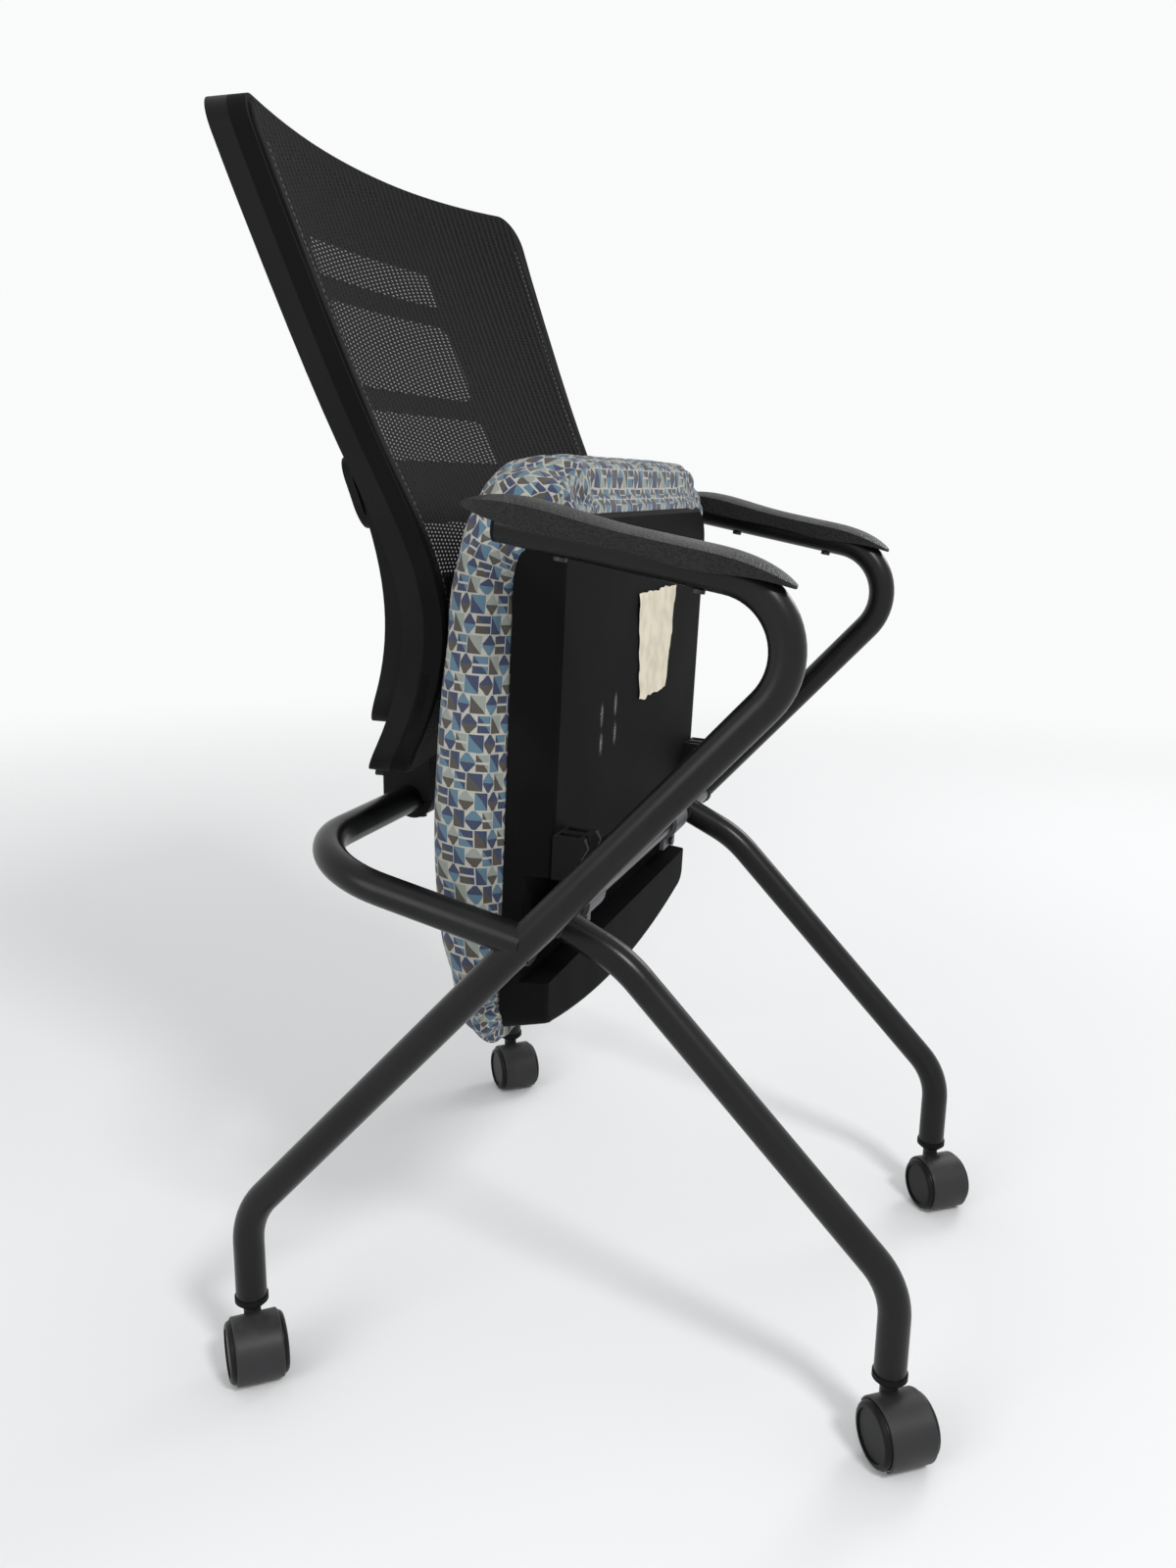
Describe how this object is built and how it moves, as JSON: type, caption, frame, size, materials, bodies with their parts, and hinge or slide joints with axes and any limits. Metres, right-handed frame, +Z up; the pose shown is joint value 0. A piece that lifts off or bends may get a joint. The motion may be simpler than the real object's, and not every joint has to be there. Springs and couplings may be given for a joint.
{
  "type": "flip-seat nesting chair",
  "caption": "Nesting office chair with a bent-tube frame, arm loops, a mesh back, a flip-up padded seat and swivel twin-wheel casters.",
  "frame": {"origin": "on the floor, midway between the caster stems", "axes": "+Z up, the chair faces -Y, +X to the sitter's left"},
  "size_m": [0.6169, 0.594, 0.978],
  "materials": {
    "tube_paint": "satin black powder coat",
    "frame_plastic": "fine-grained matte black",
    "shell_plastic": "grained black moulding",
    "strap_plastic": "dark grey moulding",
    "pad_rubber": "stippled soft-touch black",
    "mesh_cloth": "open ribbed mesh",
    "upholstery": "woven cloth with small geometric motifs",
    "plywood": "plain plywood",
    "black_screw": "blackened steel",
    "bright_steel": "plain steel",
    "caster_plastic": "satin dark grey",
    "wheel_plastic": "semi-gloss black"
  },
  "bodies": {
    "frame": {"side_tube_right": "tube_paint", "side_tube_left": "tube_paint", "cross_tube": "tube_paint", "rear_u_tube": "tube_paint", "front_leg_right": "tube_paint", "front_leg_left": "tube_paint", "pad_screws": "black_screw", "back_mesh": "mesh_cloth", "mesh_carrier": "frame_plastic", "back_frame": "frame_plastic", "back_support": "frame_plastic", "lumbar_bar": "frame_plastic", "back_bracket": "frame_plastic", "clamp_cap": "frame_plastic", "clamp_bolts": "black_screw", "bracket_screws": "black_screw", "arm_pad_right": "pad_rubber", "arm_pad_left": "pad_rubber", "arm_plug_right": "frame_plastic", "arm_plug_left": "frame_plastic", "caster_socket_front_right": "frame_plastic", "caster_socket_front_left": "frame_plastic", "caster_socket_rear_right": "frame_plastic", "caster_socket_rear_left": "frame_plastic"},
    "seat": {"seat_shell": "shell_plastic", "seat_board": "plywood", "seat_cushion": "upholstery", "strap_screws": "black_screw", "rest_block_right": "frame_plastic", "rest_block_left": "frame_plastic", "pivot_bearing_right": "frame_plastic", "pivot_bearing_left": "frame_plastic", "bearing_strap_right": "strap_plastic", "bearing_strap_left": "strap_plastic"},
    "caster_front_right": {"caster_stem_front_right": "bright_steel", "caster_hood_front_right": "caster_plastic", "caster_axle_front_right": "bright_steel"},
    "wheel_front_right_a": {"wheel_front_right_a": "wheel_plastic"},
    "wheel_front_right_b": {"wheel_front_right_b": "wheel_plastic"},
    "caster_front_left": {"caster_stem_front_left": "bright_steel", "caster_hood_front_left": "caster_plastic", "caster_axle_front_left": "bright_steel"},
    "wheel_front_left_a": {"wheel_front_left_a": "wheel_plastic"},
    "wheel_front_left_b": {"wheel_front_left_b": "wheel_plastic"},
    "caster_rear_right": {"caster_stem_rear_right": "bright_steel", "caster_hood_rear_right": "caster_plastic", "caster_axle_rear_right": "bright_steel"},
    "wheel_rear_right_a": {"wheel_rear_right_a": "wheel_plastic"},
    "wheel_rear_right_b": {"wheel_rear_right_b": "wheel_plastic"},
    "caster_rear_left": {"caster_stem_rear_left": "bright_steel", "caster_hood_rear_left": "caster_plastic", "caster_axle_rear_left": "bright_steel"},
    "wheel_rear_left_a": {"wheel_rear_left_a": "wheel_plastic"},
    "wheel_rear_left_b": {"wheel_rear_left_b": "wheel_plastic"}
  },
  "joints": [
    {"name": "seat_flip", "type": "hinge", "parent": "frame", "child": "seat", "pos_m": [0, 0.02355, 0.392], "axis": [1, 0, 0], "range_deg": [0, 86]},
    {"name": "swivel_front_right", "type": "hinge", "parent": "frame", "child": "caster_front_right", "pos_m": [-0.188, -0.2534, 0.06], "axis": [0, 0, 1], "continuous": true},
    {"name": "spin_front_right_a", "type": "hinge", "parent": "caster_front_right", "child": "wheel_front_right_a", "pos_m": [-0.20078, -0.26303, 0.025], "axis": [0.6018, -0.7986, 0], "continuous": true},
    {"name": "spin_front_right_b", "type": "hinge", "parent": "caster_front_right", "child": "wheel_front_right_b", "pos_m": [-0.20078, -0.26303, 0.025], "axis": [0.6018, -0.7986, 0], "continuous": true},
    {"name": "swivel_front_left", "type": "hinge", "parent": "frame", "child": "caster_front_left", "pos_m": [0.188, -0.2534, 0.06], "axis": [0, 0, 1], "continuous": true},
    {"name": "spin_front_left_a", "type": "hinge", "parent": "caster_front_left", "child": "wheel_front_left_a", "pos_m": [0.17522, -0.26303, 0.025], "axis": [0.6018, -0.7986, 0], "continuous": true},
    {"name": "spin_front_left_b", "type": "hinge", "parent": "caster_front_left", "child": "wheel_front_left_b", "pos_m": [0.17522, -0.26303, 0.025], "axis": [0.6018, -0.7986, 0], "continuous": true},
    {"name": "swivel_rear_right", "type": "hinge", "parent": "frame", "child": "caster_rear_right", "pos_m": [-0.276, 0.25301, 0.06], "axis": [0, 0, 1], "continuous": true},
    {"name": "spin_rear_right_a", "type": "hinge", "parent": "caster_rear_right", "child": "wheel_rear_right_a", "pos_m": [-0.28789, 0.24231, 0.025], "axis": [0.6691, -0.7431, 0], "continuous": true},
    {"name": "spin_rear_right_b", "type": "hinge", "parent": "caster_rear_right", "child": "wheel_rear_right_b", "pos_m": [-0.28789, 0.24231, 0.025], "axis": [0.6691, -0.7431, 0], "continuous": true},
    {"name": "swivel_rear_left", "type": "hinge", "parent": "frame", "child": "caster_rear_left", "pos_m": [0.276, 0.25301, 0.06], "axis": [0, 0, 1], "continuous": true},
    {"name": "spin_rear_left_a", "type": "hinge", "parent": "caster_rear_left", "child": "wheel_rear_left_a", "pos_m": [0.26411, 0.24231, 0.025], "axis": [0.6691, -0.7431, 0], "continuous": true},
    {"name": "spin_rear_left_b", "type": "hinge", "parent": "caster_rear_left", "child": "wheel_rear_left_b", "pos_m": [0.26411, 0.24231, 0.025], "axis": [0.6691, -0.7431, 0], "continuous": true}
  ]
}
